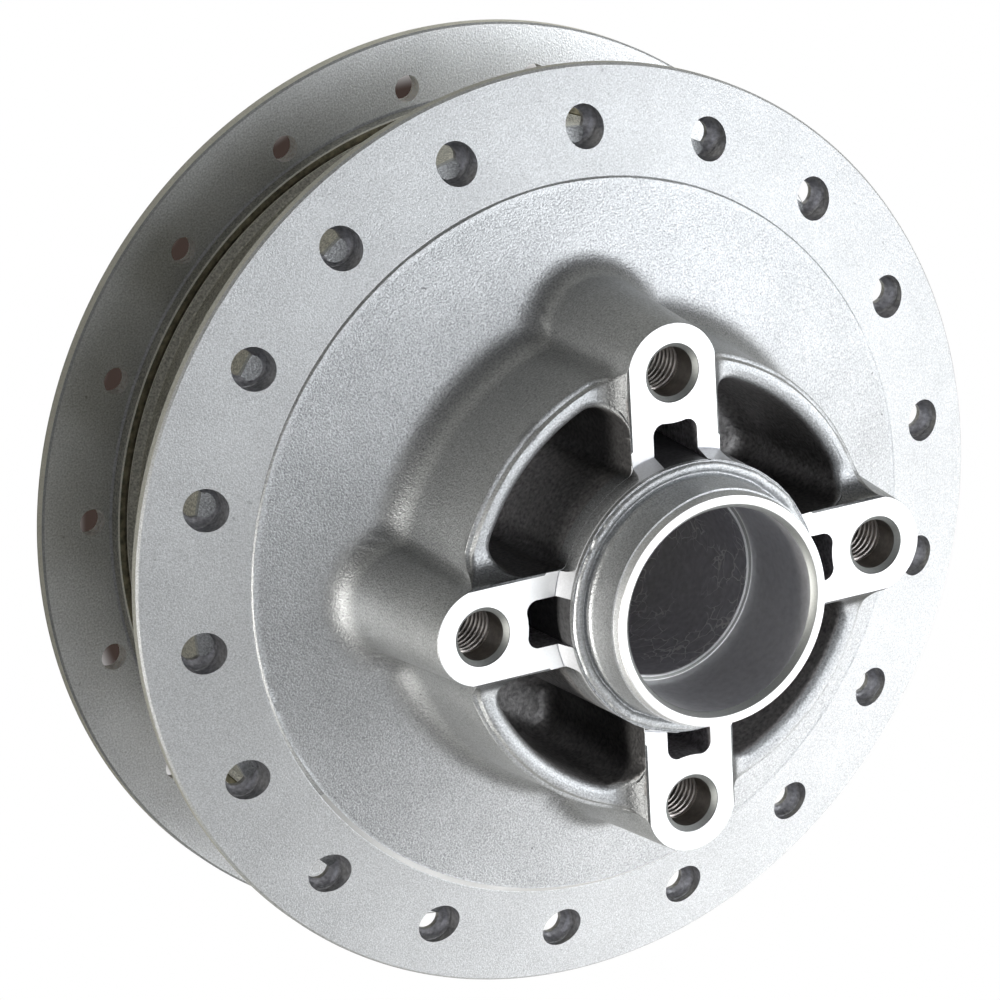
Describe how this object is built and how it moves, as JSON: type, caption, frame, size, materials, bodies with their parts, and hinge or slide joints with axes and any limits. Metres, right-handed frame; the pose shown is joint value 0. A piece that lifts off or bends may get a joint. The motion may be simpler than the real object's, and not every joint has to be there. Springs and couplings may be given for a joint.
{
  "type": "wheel hub",
  "caption": "Cast rear wheel hub with two spoke flanges, a brake drum, threaded sprocket arms and seats for wheel bearings.",
  "frame": {"origin": "on the axle's axis, in the plane of the brake drum's mouth, which the hub stands on", "axes": "+Z along the axle towards the sprocket side; two of the four bolt arms lie along X and two along Y"},
  "size_m": [0.163, 0.163, 0.0977],
  "materials": {
    "cast_aluminium": "as cast, with turned and faced surfaces"
  },
  "bodies": {
    "root": {"hub": "cast_aluminium"}
  },
  "joints": []
}
